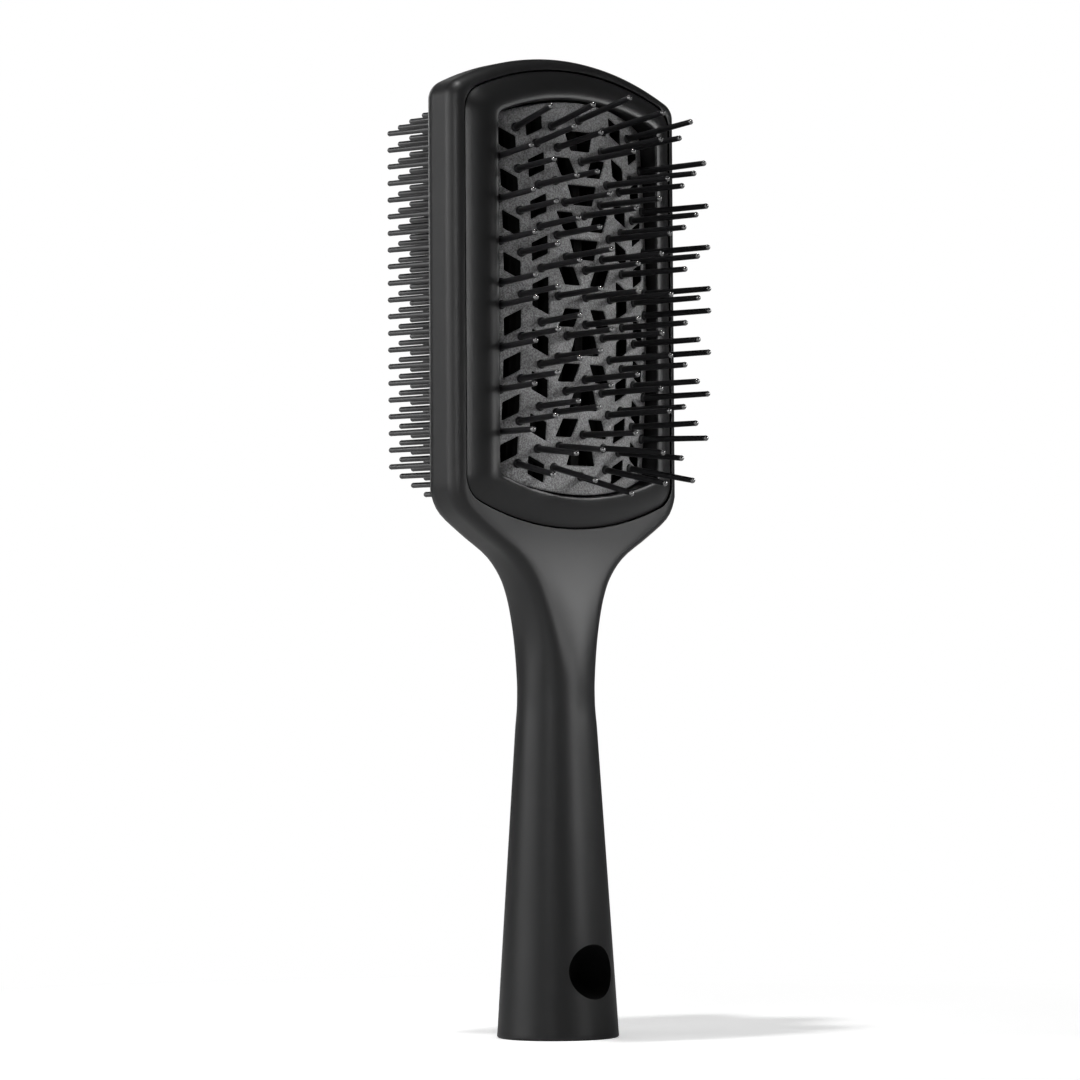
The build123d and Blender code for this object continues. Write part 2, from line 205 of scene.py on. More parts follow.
# Front outline of the neck: share of its height, share of its widening
NECK_OUTLINE = ((0.0, 0.0), (0.15, 0.002), (0.25, 0.015), (0.35, 0.046), (0.45, 0.098),
                (0.55, 0.188), (0.65, 0.356), (0.75, 0.645), (0.85, 0.900), (0.94, 0.992),
                (1.0, 1.0))

# Points along half an end arch, a corner and half a straight side of the head's outline
ARCH_STEPS, CORNER_STEPS, SIDE_STEPS = 20, 8, 24


def front():
    """From the drawing of a face to the front of the head."""
    centre = settings("body").head_centre
    return Matrix(((1, 0, 0, 0), (0, 0, -1, 0), (0, 1, 0, centre), (0, 0, 0, 1)))


def rear():
    """From the drawing of a face to the back of the head."""
    centre = settings("body").head_centre
    return Matrix(((-1, 0, 0, 0), (0, 0, 1, 0), (0, 1, 0, centre), (0, 0, 0, 1)))


def smooth_step(share):
    """Eases from 0 to 1."""
    share = min(max(share, 0.0), 1.0)
    return share * share * (3 - 2 * share)


def eased(table, x):
    """Smooth curve through a table of points."""
    index = max(i for i, (px, _) in enumerate(table[:-1]) if px <= x)
    (x0, y0), (x1, y1) = table[index], table[index + 1]
    before = table[index - 1] if index else (x0, y0)
    after = table[index + 2] if index + 2 < len(table) else (x1, y1)
    slope0 = (y1 - before[1]) / (x1 - before[0])
    slope1 = (after[1] - y0) / (after[0] - x0)
    span = x1 - x0
    share = (x - x0) / span
    return (y0 * (1 + 2 * share) * (1 - share) ** 2 + y1 * share ** 2 * (3 - 2 * share)
            + span * slope0 * share * (1 - share) ** 2 - span * slope1 * share ** 2 * (1 - share))


def outline_quarter(inset, corner):
    """Upper right quarter of the head's outline drawn in by inset, from mid-side to mid-arch."""
    s = settings("body")
    half_width = s.head_width / 2 - inset
    radius = s.arc_radius - inset
    centre = s.head_half_height - s.arc_radius
    corner_y = centre + sqrt((radius - corner) ** 2 - (half_width - corner) ** 2)
    turn = atan2(corner_y - centre, half_width - corner)
    side = [(half_width, corner_y * step / SIDE_STEPS) for step in range(SIDE_STEPS)]
    bend = [(half_width - corner + corner * cos(turn * step / CORNER_STEPS),
             corner_y + corner * sin(turn * step / CORNER_STEPS)) for step in range(CORNER_STEPS)]
    arch = []
    for step in range(ARCH_STEPS + 1):
        swing = turn + (pi / 2 - turn) * step / ARCH_STEPS
        arch.append((radius * cos(swing), centre + radius * sin(swing)))
    return side + bend + arch


def outline(inset, corner):
    """The whole outline, anticlockwise from the middle of the right side."""
    quarter = outline_quarter(inset, corner)
    upper = quarter + [(-x, y) for x, y in quarter[-2:0:-1]]
    return upper + [(-x, -y) for x, y in upper]


def crown_depth(crown, across, along, x, y):
    """Depth of a crowned surface at one place."""
    drop = across - sqrt(across ** 2 - x ** 2)
    return crown - along + sqrt((along - drop) ** 2 - y ** 2)


def plate_surface():
    """Crown, radius across and radius along of the front plate."""
    s = settings("plate")
    return s.crown, s.across, s.along


def pad_surface():
    """The same of the rear pad."""
    s = settings("plate")
    return s.pad_crown, s.pad_across, s.pad_along


def front_opening():
    """Inset of the front ring's opening from the head's outline."""
    return settings("body").rim_width + settings("bezel").front_width


def rear_opening():
    """The same of the rear ring."""
    return settings("body").rim_width + settings("bezel").rear_width


# ------------------------ bmesh helpers

def place(verts, points):
    """Puts each vertex on its point."""
    for vert, point in zip(verts, points):
        vert.co = point


def next_row(bm, row, closed=True):
    """Extrudes a row of vertices and returns the new row in the same order."""
    pairs = list(zip(row, row[1:] + row[:1])) if closed else list(zip(row, row[1:]))
    edges = [bm.edges.get(pair) for pair in pairs]
    made = bmesh.ops.extrude_edge_only(bm, edges=edges)["geom"]
    fresh = {item for item in made if isinstance(item, bmesh.types.BMVert)}
    return [next(edge.other_vert(vert) for edge in vert.link_edges
                 if edge.other_vert(vert) in fresh) for vert in row]


def ring(bm, points):
    """A closed row of vertices from a circle."""
    verts = bmesh.ops.create_circle(bm, segments=len(points), radius=1.0)["verts"]
    place(verts, points)
    return verts


def clean(bm, distance=1e-6):
    """Merges doubles and turns the faces outwards."""
    bmesh.ops.remove_doubles(bm, verts=bm.verts, dist=distance)
    bmesh.ops.recalc_face_normals(bm, faces=bm.faces)


def sharpen(bm, limit):
    """Smooth faces, with the edges sharper than limit kept sharp."""
    for face in bm.faces:
        face.smooth = True
    for edge in bm.edges:
        edge.smooth = not (len(edge.link_faces) == 2 and edge.calc_face_angle() > limit)


def new_object(name, bm, limit=radians(35)):
    """An object of the bmesh, shaded smooth with its sharp edges kept."""
    sharpen(bm, limit)
    mesh = bpy.data.meshes.new(name)
    bm.to_mesh(mesh)
    bm.free()
    obj = bpy.data.objects.new(name, mesh)
    bpy.context.scene.collection.objects.link(obj)
    return obj


def cut(obj, cutters):
    """Takes the cutters' shapes out of obj, and the cutters out of the scene."""
    for cutter in cutters:
        modifier = obj.modifiers.new("cut", "BOOLEAN")
        modifier.operation, modifier.solver, modifier.object = "DIFFERENCE", "EXACT", cutter
        modifier.material_mode = "TRANSFER"
        # The faces that the cutters leave are painted near-black: painted shade in the seats and
        # the bore
        cutter.data.materials.append(finish("inside_black"))
    graph = bpy.context.evaluated_depsgraph_get()
    bm = bmesh.new()
    bm.from_mesh(bpy.data.meshes.new_from_object(obj.evaluated_get(graph)))
    obj.modifiers.clear()
    for cutter in cutters:
        bpy.data.objects.remove(cutter)
    return bm


def finish_piece(obj, finishes, nodes=()):
    """Gives a piece its finishes and its body, and hides the CAD nodes that it stands for."""
    for name in finishes.split():
        if name not in obj.data.materials:
            obj.data.materials.append(finish(name))
    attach(obj, "root")
    if nodes:
        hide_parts(*nodes)


# ------------------------ finishes

# Finish: colour, roughness, size and depth of its grain, share by which the grain's tops are
# painted lighter and its hollows darker as painted highlight and shade, specular level, coat weight
FINISHES = {
    "soft_touch_black": ("body", 0.42, 0.00022, 0.000012, 0.05, 0.34, 0.0),
    "satin_soft_touch": ("bezel", 0.34, 0.00022, 0.000010, 0.05, 0.34, 0.0),
    # Painted light: the plate's grained black plastic, painted mid grey for the light that its
    # grain scatters
    "grained_black": ("plate", 0.50, 0.00042, 0.00022, 0.60, 1.0, 0.0),
    "nylon_black": ("pins", 0.38, 0.00030, 0.000002, 0.05, 0.3, 0.0),
    # Painted light: the pins' nylon painted lighter for the light on the rear pins
    "nylon_fine": ("fine_pins", 0.38, 0.00030, 0.000002, 0.05, 0.8, 0.0),
    "nylon_tip": ("pins", 0.12, 0.00030, 0.000001, 0.05, 1.0, 1.0),
    "rubber_black": ("pad", 0.62, 0.00030, 0.00002, 0.20, 0.4, 0.0),
    # Painted shade: near-black and dull, standing in for the shade in vents, wells, the bore and
    # behind the plate
    "inside_black": ("inside", 0.85, 0.00040, 0.00002, 0.20, 0.1, 0.0),
}
COAT_IOR = 2.0
CLOUD_SCALE = 90.0              # of the slow clouds in the gloss, per metre
GLOSS_SWING = 0.12              # of the roughness, up and down
# Painted highlight and shade on the grain: its colour goes from darker in the hollows to lighter on
# the tops between these heights
GRAIN_TOPS = (0.38, 0.62)       # heights of the grain between which its colour changes


def node(tree, kind, **values):
    """A new node, with its own values and the defaults of its sockets."""
    made = tree.nodes.new(kind)
    for key, value in values.items():
        if hasattr(made, key):
            setattr(made, key, value)
        else:
            made.inputs[key.replace("_", " ")].default_value = value
    return made


def link(source, output, target, socket):
    """Joins an output of one node to a socket of another."""
    source.id_data.links.new(source.outputs[output], target.inputs[socket])


def moulded(name, base, rough, grain_size, grain_depth, grain_light_share, specular, coat):
    """Moulded plastic: a spark-eroded grain painted lighter on its tops and darker in its hollows
    as painted highlight and shade, and slow clouds in its gloss.
    """
    material = bpy.data.materials.new(name)
    material.use_nodes = True
    tree = material.node_tree
    shader = tree.nodes["Principled BSDF"]
    shader.inputs["Specular IOR Level"].default_value = specular
    shader.inputs["Coat Weight"].default_value = coat
    shader.inputs["Coat Roughness"].default_value = rough
    shader.inputs["Coat IOR"].default_value = COAT_IOR
    places = node(tree, "ShaderNodeTexCoord")
    grain = node(tree, "ShaderNodeTexNoise", Scale=1.0 / grain_size, Detail=3.0, Roughness=0.6)
    clouds = node(tree, "ShaderNodeTexNoise", Scale=CLOUD_SCALE, Detail=2.0, Roughness=0.5)
    link(places, "Object", grain, "Vector")
    link(places, "Object", clouds, "Vector")
    gloss = node(tree, "ShaderNodeMapRange", To_Min=rough * (1 - GLOSS_SWING),
                 To_Max=rough * (1 + GLOSS_SWING))
    link(clouds, "Fac", gloss, "Value")
    link(gloss, "Result", shader, "Roughness")
    # Painted highlight and shade: the grain's tops are painted lighter and its hollows darker,
    # following the bump
    painted_grain_light = node(tree, "ShaderNodeMix", data_type="RGBA")
    painted_grain_light.inputs["A"].default_value = [part * (1 - grain_light_share) for part in base[:3]] + [1.0]
    painted_grain_light.inputs["B"].default_value = [part * (1 + grain_light_share) for part in base[:3]] + [1.0]
    tops = node(tree, "ShaderNodeMapRange", From_Min=GRAIN_TOPS[0], From_Max=GRAIN_TOPS[1])
    link(grain, "Fac", tops, "Value")
    link(tops, "Result", painted_grain_light, "Factor")
    link(painted_grain_light, "Result", shader, "Base Color")
    bump = node(tree, "ShaderNodeBump", Strength=1.0, Distance=grain_depth)
    link(grain, "Fac", bump, "Height")
    link(bump, "Normal", shader, "Normal")
    return material


def finish(name):
    """Each finish is made once and shared."""
    if name in bpy.data.materials:
        return bpy.data.materials[name]
    tone, *values = FINISHES[name]
    return moulded(name, getattr(settings("finish"), tone), *values)


# ------------------------ body

SECTION_STEPS = 96              # points round the body
THIRD = 30.0                    # degrees of a turn for half a side, a corner and half a face
NECK_EDGE = 0.5                 # the neck's corners start with this share of the edge radius
NECK_SQUARING = 0.8             # below 1, the neck gets its corners sooner than its depth
FOOT_STEPS = 4                  # along the foot's bevel
RING_STEP = 0.0015              # between the rings of the handle
SETTLE_REACH = 0.006            # below the taper's top, where it starts to ease into the waist
LEAST_CORNER = 0.0008           # of the head's outline, however far it is drawn in
WELL_MARGIN = 0.0017            # ledge left round the well
HOLE_SEGMENTS = 72


def section(height, half_width, half_depth, flat):
    """Points round the body: a circle in the grip, a rounded rectangle in the head."""
    edge = settings("body").edge_radius * (NECK_EDGE + (1 - NECK_EDGE) * flat)
    points = []
    for step in range(SECTION_STEPS):
        turn = 360.0 * step / SECTION_STEPS
        quarter = turn % 180.0 if turn % 180.0 <= 90.0 else 180.0 - turn % 180.0
        if quarter <= THIRD:
            square = (half_width, (half_depth - edge) * quarter / THIRD)
        elif quarter <= 2 * THIRD:
            bend = radians(quarter - THIRD) * 3.0
            square = (half_width - edge + edge * cos(bend), half_depth - edge + edge * sin(bend))
        else:
            square = ((half_width - edge) * (3 * THIRD - quarter) / THIRD, half_depth)
        x = half_width * cos(radians(quarter)) * (1 - flat) + square[0] * flat
        y = half_depth * sin(radians(quarter)) * (1 - flat) + square[1] * flat
        points.append(Vector((x if turn <= 90.0 or turn >= 270.0 else -x,
                              y if turn <= 180.0 else -y, height)))
    return points


def handle_sections():
    """The points of each ring, from the foot to the shoulders."""
    s = settings("body")
    foot, top, waist = s.foot_diameter / 2, s.grip_top_diameter / 2, s.waist_diameter / 2
    sections = []
    for step in range(FOOT_STEPS + 1):
        bend = step / FOOT_STEPS * pi / 2
        radius = foot - s.foot_bevel * (1 - sin(bend))
        sections.append(section(s.foot_bevel * (1 - cos(bend)), radius, radius, 0))
    count = round(s.waist_height / RING_STEP)
    for index in range(1, count + 1):
        height = s.waist_height * index / count
        taper = foot + (top - foot) * min(height / s.grip_height, 1.0)
        settle = smooth_step((height - s.grip_height + SETTLE_REACH)
                             / (s.waist_height - s.grip_height + SETTLE_REACH))
        radius = taper + (waist - taper) * settle
        sections.append(section(height, radius, radius, 0))
    count = round((s.shoulder_height - s.waist_height) / RING_STEP)
    for index in range(1, count + 1):
        height = s.waist_height + (s.shoulder_height - s.waist_height) * index / count
        share = min((height - s.waist_height) / (s.neck_width_height - s.waist_height), 1.0)
        wide = eased(NECK_OUTLINE, share) if share < 1.0 else 1.0
        flat = smooth_step((height - s.waist_height) / (s.neck_depth_height - s.waist_height))
        sections.append(section(height, waist + (s.head_width / 2 - waist) * wide,
                                waist + (s.head_thickness / 2 - waist) * flat,
                                flat ** NECK_SQUARING))
    return sections


def head_sweep(bm, top_ring):
    """Carries the head's side wall from the right shoulder over the arch to the left one."""
    s = settings("body")
    sixth = SECTION_STEPS // 6
    chain = top_ring[-sixth:] + top_ring[:sixth + 1]
    goal = [vert.co.copy() for vert in top_ring[2 * sixth:4 * sixth + 1]][::-1]
    profile = []
    for vert in chain:
        inset = min(max(s.head_width / 2 - vert.co.x, 0.0), s.edge_radius)
        profile.append((inset, vert.co.y))
    low = s.shoulder_height - s.head_centre
    paths = []
    for inset, depth in profile:
        quarter = outline_quarter(inset, max(s.corner_radius - inset, LEAST_CORNER))
        right = [(quarter[0][0], low + (quarter[SIDE_STEPS][1] - low) * step / SIDE_STEPS)
                 for step in range(1, SIDE_STEPS)] + quarter[SIDE_STEPS:]
        path = right + [(-x, y) for x, y in right[-2::-1]]
        paths.append([Vector((x, depth, s.head_centre + y)) for x, y in path])
    row = chain
    for station in range(len(paths[0])):
        row = next_row(bm, row, closed=False)
        place(row, [path[station] for path in paths])
    row = next_row(bm, row, closed=False)
    place(row, goal)


def seat_cutters(matrix, opening):
    """The ledge and the well of one face."""
    s, b = settings("body"), settings("bezel")
    cutters = []
    for name, inset, corner, low in (
            ("ledge", s.rim_width, b.outer_corner, s.head_thickness / 2 - s.ledge_depth),
            ("well", opening + WELL_MARGIN, b.opening_corner, s.web_thickness / 2)):
        bm = bmesh.new()
        shape = outline(inset, corner)
        floor = ring(bm, [Vector((x, y, low)) for x, y in shape])
        place(next_row(bm, floor), [Vector((x, y, s.head_thickness)) for x, y in shape])
        bmesh.ops.holes_fill(bm, edges=bm.edges, sides=0)
        clean(bm)
        bm.transform(matrix)
        bmesh.ops.recalc_face_normals(bm, faces=bm.faces)
        cutters.append(new_object(name, bm))
    return cutters


def hole_cutter():
    """The hang hole's bore, from front to back."""
    s = settings("body")
    bm = bmesh.new()
    bmesh.ops.create_cone(bm, cap_ends=True, segments=HOLE_SEGMENTS, radius1=s.hole_diameter / 2,
                          radius2=s.hole_diameter / 2, depth=2 * s.foot_diameter,
                          matrix=Matrix.Translation((0, 0, s.hole_height))
                          @ Matrix.Rotation(pi / 2, 4, "X"))
    return new_object("bore", bm)


def body_mesh():
    """Handle, neck and head as one skin, before the seats and the hole are cut."""
    bm = bmesh.new()
    sections = handle_sections()
    row = ring(bm, sections[0])
    for points in sections[1:]:
        row = next_row(bm, row)
        place(row, points)
    head_sweep(bm, row)
    clean(bm)
    bmesh.ops.holes_fill(bm, edges=bm.edges, sides=0)
    bmesh.ops.recalc_face_normals(bm, faces=bm.faces)
    return bm


class HAIRBRUSH_OT_body(bpy.types.Operator):
    """Build the handle, neck and head frame as one moulding"""
    bl_idname = "hairbrush.body"
    bl_label = "Body"

    def execute(self, context):
        body = new_object("body_shell", body_mesh())
        body.data.materials.append(finish("soft_touch_black"))
        cutters = seat_cutters(front(), front_opening()) + seat_cutters(rear(), rear_opening())
        bm = cut(body, cutters + [hole_cutter()])
        clean(bm, 2e-6)
        sharpen(bm, radians(30))
        bm.to_mesh(body.data)
        bm.free()
        finish_piece(body, "soft_touch_black inside_black", ["body_frame"])
        return {"FINISHED"}


# ------------------------ bezels

WALL_TOP = 0.0006               # the ring's outer wall ends this far below the head's face
CROWN_FOOT = 0.0003             # its crown starts this far below the face
CROWN_STEPS, LIP_STEPS = 14, 4
CROWN_POWER = 0.9               # below 1, the crown is fuller near its foot


def bezel_profile(width, rise):
    """Inset and depth round the ring's section, from its outer foot over the crown and back."""
    s, b = settings("body"), settings("bezel")
    face = s.head_thickness / 2
    ledge = face - s.ledge_depth
    start, end = s.rim_width + b.groove, s.rim_width + width
    lip = b.lip_rounding
    points = [(start, ledge), (start, face - WALL_TOP)]
    for step in range(CROWN_STEPS + 1):
        share = step / CROWN_STEPS
        height = (rise + CROWN_FOOT) * sin(pi / 2 * share) ** CROWN_POWER
        points.append((start + (end - lip - start) * share, face - CROWN_FOOT + height))
    for step in range(1, LIP_STEPS + 1):
        bend = pi / 2 * step / LIP_STEPS
        points.append((end - lip + lip * sin(bend), face + rise - lip * (1 - cos(bend))))
    points.append((end, ledge))
    return points


def bezel_mesh(width, rise):
    """One ring, its corner tightening from the parting line to the opening."""
    s, b = settings("body"), settings("bezel")
    bm = bmesh.new()
    row = None
    for inset, depth in bezel_profile(width, rise):
        share = (inset - s.rim_width) / width
        corner = b.outer_corner + (b.opening_corner - b.outer_corner) * share
        points = [Vector((x, y, depth)) for x, y in outline(inset, corner)]
        if row is None:
            first = row = ring(bm, points)
        else:
            row = next_row(bm, row)
            place(row, points)
    last = next_row(bm, row)
    place(last, [vert.co.copy() for vert in first])
    clean(bm)
    return bm


class HAIRBRUSH_OT_bezels(bpy.types.Operator):
    """Build the raised rings round both faces"""
    bl_idname = "hairbrush.bezels"
    bl_label = "Bezels"

    def execute(self, context):
        b = settings("bezel")
        for side, matrix, width, rise in (("front", front(), b.front_width, b.front_rise),
                                          ("rear", rear(), b.rear_width, b.rear_rise)):
            bm = bezel_mesh(width, rise)
            bm.transform(matrix)
            bmesh.ops.recalc_face_normals(bm, faces=bm.faces)
            obj = new_object(f"{side}_bezel_ring", bm, radians(40))
            finish_piece(obj, "satin_soft_touch", [f"{side}_bezel"])
        return {"FINISHED"}


# ------------------------ vents, plate and pad

OUTER_PITCH, INNER_PITCH = 10.6 * MM, 13.9 * MM    # along the head, of vents and pins
VENT_HEIGHT = 4.6 * MM
# Columns of vents in the upper right quarter: x, lowest y, pitch, width, slant and lean
OUTER_VENTS = (20.7 * MM, 7.2 * MM, OUTER_PITCH, 4.3 * MM, 2.3 * MM, 0.0)
INNER_VENTS = (13.4 * MM, 11.9 * MM, OUTER_PITCH, 4.5 * MM, -2.2 * MM, 0.0)
LEANING_VENTS = (5.0 * MM, 5.3 * MM, INNER_PITCH, 4.8 * MM, 0.0, 2.0 * MM)
# Middle column: lowest y, half widths of the lower and upper edge, half height
MIDDLE_VENTS = (12.1 * MM, 3.15 * MM, 4.65 * MM, 2.55 * MM)
# One vent at each side of mid-head: x and half height of its inner and of its outer edge
SIDE_VENT = ((11.15 * MM, 4.85 * MM), (15.65 * MM, 2.7 * MM))
CORNER_CUTS, BEVEL_CUTS = 3, 2
SHARP = radians(60)             # an edge of a vent bends more than this
WALL_SLOPE = 0.3                # faces whose normals rise less than this are walls or underside
# Cuts that let the flat plate bend: along which axis, how far and how close
BEND_CUTS = ((Vector((1, 0, 0)), 0.026, 0.0016), (Vector((0, 1, 0)), 0.052, 0.004))


def slanted_vent(column, index):
    """Corners of a vent: slant tilts its top and bottom, lean its sides."""
    x, lowest, pitch, width, slant, lean = column
    y = lowest + pitch * index
    low, high, half = x - width / 2, x + width / 2, VENT_HEIGHT / 2
    return [(low - lean / 2, y - half - slant / 2), (high - lean / 2, y - half + slant / 2),
            (high + lean / 2, y + half + slant / 2), (low + lean / 2, y + half - slant / 2)]


def quadrant_vents():
    """The vents of the upper right quarter that are there four times."""
    vents = []
    for index in range(4):
        vents += [slanted_vent(OUTER_VENTS, index), slanted_vent(INNER_VENTS, index)]
    return vents + [slanted_vent(LEANING_VENTS, index) for index in range(3)]


def all_vents():
    """Every vent: the quarter's four times, a middle column, and one at each side."""
    vents = []
    for points in quadrant_vents():
        for right in (1, -1):
            for up in (1, -1):
                vents.append([(right * x, up * y) for x, y in points])
    lowest, near, far, half = MIDDLE_VENTS
    for index in range(3):
        y = lowest + INNER_PITCH * index
        for up in (1, -1):
            vents.append([(-near, up * (y - half)), (near, up * (y - half)),
                          (far, up * (y + half)), (-far, up * (y + half))])
    (inner, tall), (outer, short) = SIDE_VENT
    for right in (1, -1):
        vents.append([(right * inner, -tall), (right * outer, -short), (right * outer, short),
                      (right * inner, tall)])
    return vents


def rounded_loop(bm, points, radius):
    """A wire loop with rounded corners."""
    verts = ring(bm, [Vector((x, y, 0)) for x, y in points])
    face = bmesh.ops.contextual_create(bm, geom=verts)["faces"][0]
    bmesh.ops.bevel(bm, geom=list(face.verts), affect="VERTICES", offset=radius,
                    segments=CORNER_CUTS, profile=0.5, material=-1)
    loops = [item for item in bm.faces if len(item.verts) > 4]
    bmesh.ops.delete(bm, geom=loops, context="FACES_ONLY")


def shell_mesh(inset, surface, vents):
    """A plate drawn flat, cut, thickened, bevelled and bent to its crown, its rim on the ledge."""
    s, p = settings("body"), settings("plate")
    corner, thickness = settings("bezel").opening_corner, p.thickness
    ledge = s.head_thickness / 2 - s.ledge_depth
    bm = bmesh.new()
    for points in vents:
        rounded_loop(bm, points, p.vent_corner)
    ring(bm, [Vector((x, y, 0)) for x, y in outline(inset, corner)])
    bmesh.ops.triangle_fill(bm, use_beauty=True, use_dissolve=False, edges=bm.edges)
    bmesh.ops.recalc_face_normals(bm, faces=bm.faces)
    if bm.faces[0].normal.z < 0:
        bmesh.ops.reverse_faces(bm, faces=bm.faces)
    made = bmesh.ops.extrude_face_region(bm, geom=list(bm.faces))["geom"]
    upper = [item for item in made if isinstance(item, bmesh.types.BMVert)]
    bmesh.ops.translate(bm, verts=upper, vec=(0, 0, thickness))
    bmesh.ops.recalc_face_normals(bm, faces=bm.faces)
    edges = [edge for edge in bm.edges if all(v.co.z > thickness - 1e-7 for v in edge.verts)
             and len(edge.link_faces) == 2 and edge.calc_face_angle() > SHARP]
    bmesh.ops.bevel(bm, geom=edges, affect="EDGES", offset=p.vent_bevel, segments=BEVEL_CUTS,
                    profile=0.5, material=-1)
    for normal, reach, step in BEND_CUTS:
        count = int(reach / step)
        for index in range(-count, count + 1):
            geom = list(bm.verts) + list(bm.edges) + list(bm.faces)
            bmesh.ops.bisect_plane(bm, geom=geom, dist=1e-7, plane_co=normal * step * index,
                                   plane_no=normal)
    bm.normal_update()
    # Walls and underside are painted near-black: painted shade in the vents and under the plate
    for face in bm.faces:
        if face.normal.z < WALL_SLOPE:
            face.material_index = 1
    rim = {(round(x, 6), round(y, 6)) for x, y in outline(inset, corner)}
    for vert in bm.verts:
        x, y, z = vert.co
        if z < thickness / 2 and (round(x, 6), round(y, 6)) in rim:
            vert.co.z = ledge
        else:
            vert.co.z = crown_depth(*surface, x, y) + z - thickness
    bmesh.ops.recalc_face_normals(bm, faces=bm.faces)
    return bm


class HAIRBRUSH_OT_plate(bpy.types.Operator):
    """Build the vented front plate"""
    bl_idname = "hairbrush.plate"
    bl_label = "Vent plate"

    def execute(self, context):
        bm = shell_mesh(front_opening() + settings("plate").gap, plate_surface(), all_vents())
        bm.transform(front())
        obj = new_object("vent_plate", bm, radians(50))
        finish_piece(obj, "grained_black inside_black", ["front_vent_plate"])
        return {"FINISHED"}


class HAIRBRUSH_OT_pad(bpy.types.Operator):
    """Build the crowned rear pad"""
    bl_idname = "hairbrush.pad"
    bl_label = "Rear pad"

    def execute(self, context):
        bm = shell_mesh(rear_opening() + settings("plate").pad_gap, pad_surface(), ())
        bm.transform(rear())
        obj = new_object("rear_pad", bm, radians(50))
        finish_piece(obj, "rubber_black inside_black")
        return {"FINISHED"}


# ------------------------ pins

FRONT_SINK, REAR_SINK = 0.003, 0.001               # of a pin's foot below the surface
FRONT_ROUND, REAR_ROUND = (14, 6), (10, 4)         # steps round a pin and over its ball
COLLAR_STEPS = 24
# Radius and height of a collar's profile, from its outer foot over the top to its inner wall
COLLAR = ((1.20 * MM, -0.6 * MM), (1.20 * MM, 0.20 * MM), (1.16 * MM, 0.38 * MM),
          (1.06 * MM, 0.54 * MM), (0.92 * MM, 0.64 * MM), (0.78 * MM, 0.66 * MM),
          (0.78 * MM, -0.5 * MM))
SLIM_RIB, WIDE_RIB = 2.6 * MM, 5.2 * MM            # the wide ones carry a staggered column
RIB_GAP = 0.0004                # between plate and rib
RIB_STEPS = 12                  # along a rib
INNER_RIB, OUTER_RIB = 0.0465, 0.0415              # half lengths of the ribs
OUTER_RIBS_FROM = 0.02          # from the head's middle line
REAR_COLUMNS, REAR_ROWS = 13, 14                   # of the rear field, rows to each side


def rows(start, pitch, count):
    """Heights above mid-head and their mirror images below it."""
    above = [start + pitch * index for index in range(count)]
    return above + [-y for y in above]


def front_columns():
    """Nine columns from left to right: x of the rib, its width, and its pins."""
    staggered = ([(8.5 * MM, y) for y in [0.0] + rows(15.4 * MM, INNER_PITCH, 2)
                  + [43.2 * MM, -43.2 * MM]]
                 + [(5.9 * MM, y) for y in rows(10.0 * MM, INNER_PITCH, 2)]
                 + [(7.2 * MM, y) for y in (37.8 * MM, -37.8 * MM)])
    middle = [0.0] + rows(6.9 * MM, INNER_PITCH, 3) + [45.3 * MM, -45.3 * MM]
    right = [(7.2 * MM, WIDE_RIB, staggered)]
    for x, ys in ((13.3 * MM, rows(6.8 * MM, OUTER_PITCH, 4)),
                  (18.5 * MM, [0.0] + rows(10.6 * MM, OUTER_PITCH, 4)),
                  (23.7 * MM, rows(2.8 * MM, OUTER_PITCH, 4))):
        right.append((x, SLIM_RIB, [(x, y) for y in ys]))
    left = [(-x, width, [(-px, py) for px, py in pins]) for x, width, pins in right[::-1]]
    return left + [(0.0, SLIM_RIB, [(0.0, y) for y in middle])] + right


def rear_columns():
    """Thirteen columns of the rear field, every other one shifted by half a row."""
    s, p = settings("body"), settings("pins")
    inset = rear_opening() + settings("plate").pad_gap
    pitch = 2 * (s.head_width / 2 - inset) / REAR_COLUMNS
    radius = s.arc_radius - inset
    columns = []
    for index in range(REAR_COLUMNS):
        x = (index - (REAR_COLUMNS - 1) / 2) * pitch
        reach = s.head_half_height - s.arc_radius + sqrt(radius ** 2 - x ** 2) - p.rear_margin
        shift = p.rear_offset + (p.rear_pitch / 2 if index % 2 else 0.0)
        ys = [shift + p.rear_pitch * row for row in range(-REAR_ROWS, REAR_ROWS + 1)]
        columns.append([(x, y) for y in ys if abs(y) < reach])
    return columns


def rear_pin_lean(x):
    """Unit direction of a rear pin, leaning out to its side."""
    p = settings("pins")
    return Vector((tan(p.fan_limit * tanh(x / p.fan_reach)), 0.0, 1.0)).normalized()


def front_pin_lean(x, y):
    """Unit direction of a front pin, which also leans along the head towards its ends."""
    p = settings("pins")
    across = p.fan_limit * tanh(x / p.fan_reach)
    beyond = min(max(0.0, abs(y) - p.end_fan_start) / p.end_fan_length, 1.0)
    along = (p.top_end_fan if y > 0 else -p.bottom_end_fan) * beyond
    return Vector((tan(across), tan(along), 1.0)).normalized()


def spun(profile, steps, tip_from=inf):
    """A round piece from (radius, height) points, spun about z, its tip in the second finish."""
    bm = bmesh.new()
    verts = [bmesh.ops.create_vert(bm, co=(radius, 0, height))["vert"][0]
             for radius, height in profile]
    edges = [bm.edges.new(pair) for pair in zip(verts, verts[1:])]
    bmesh.ops.spin(bm, geom=verts + edges, cent=(0, 0, 0), axis=(0, 0, 1), dvec=(0, 0, 0),
                   angle=2 * pi, steps=steps, use_merge=True, use_duplicate=False)
    clean(bm, 1e-7)
    for face in bm.faces:
        face.material_index = int(face.calc_center_median().z > tip_from)
    mesh = bpy.data.meshes.new("template")
    bm.to_mesh(mesh)
    bm.free()
    return mesh


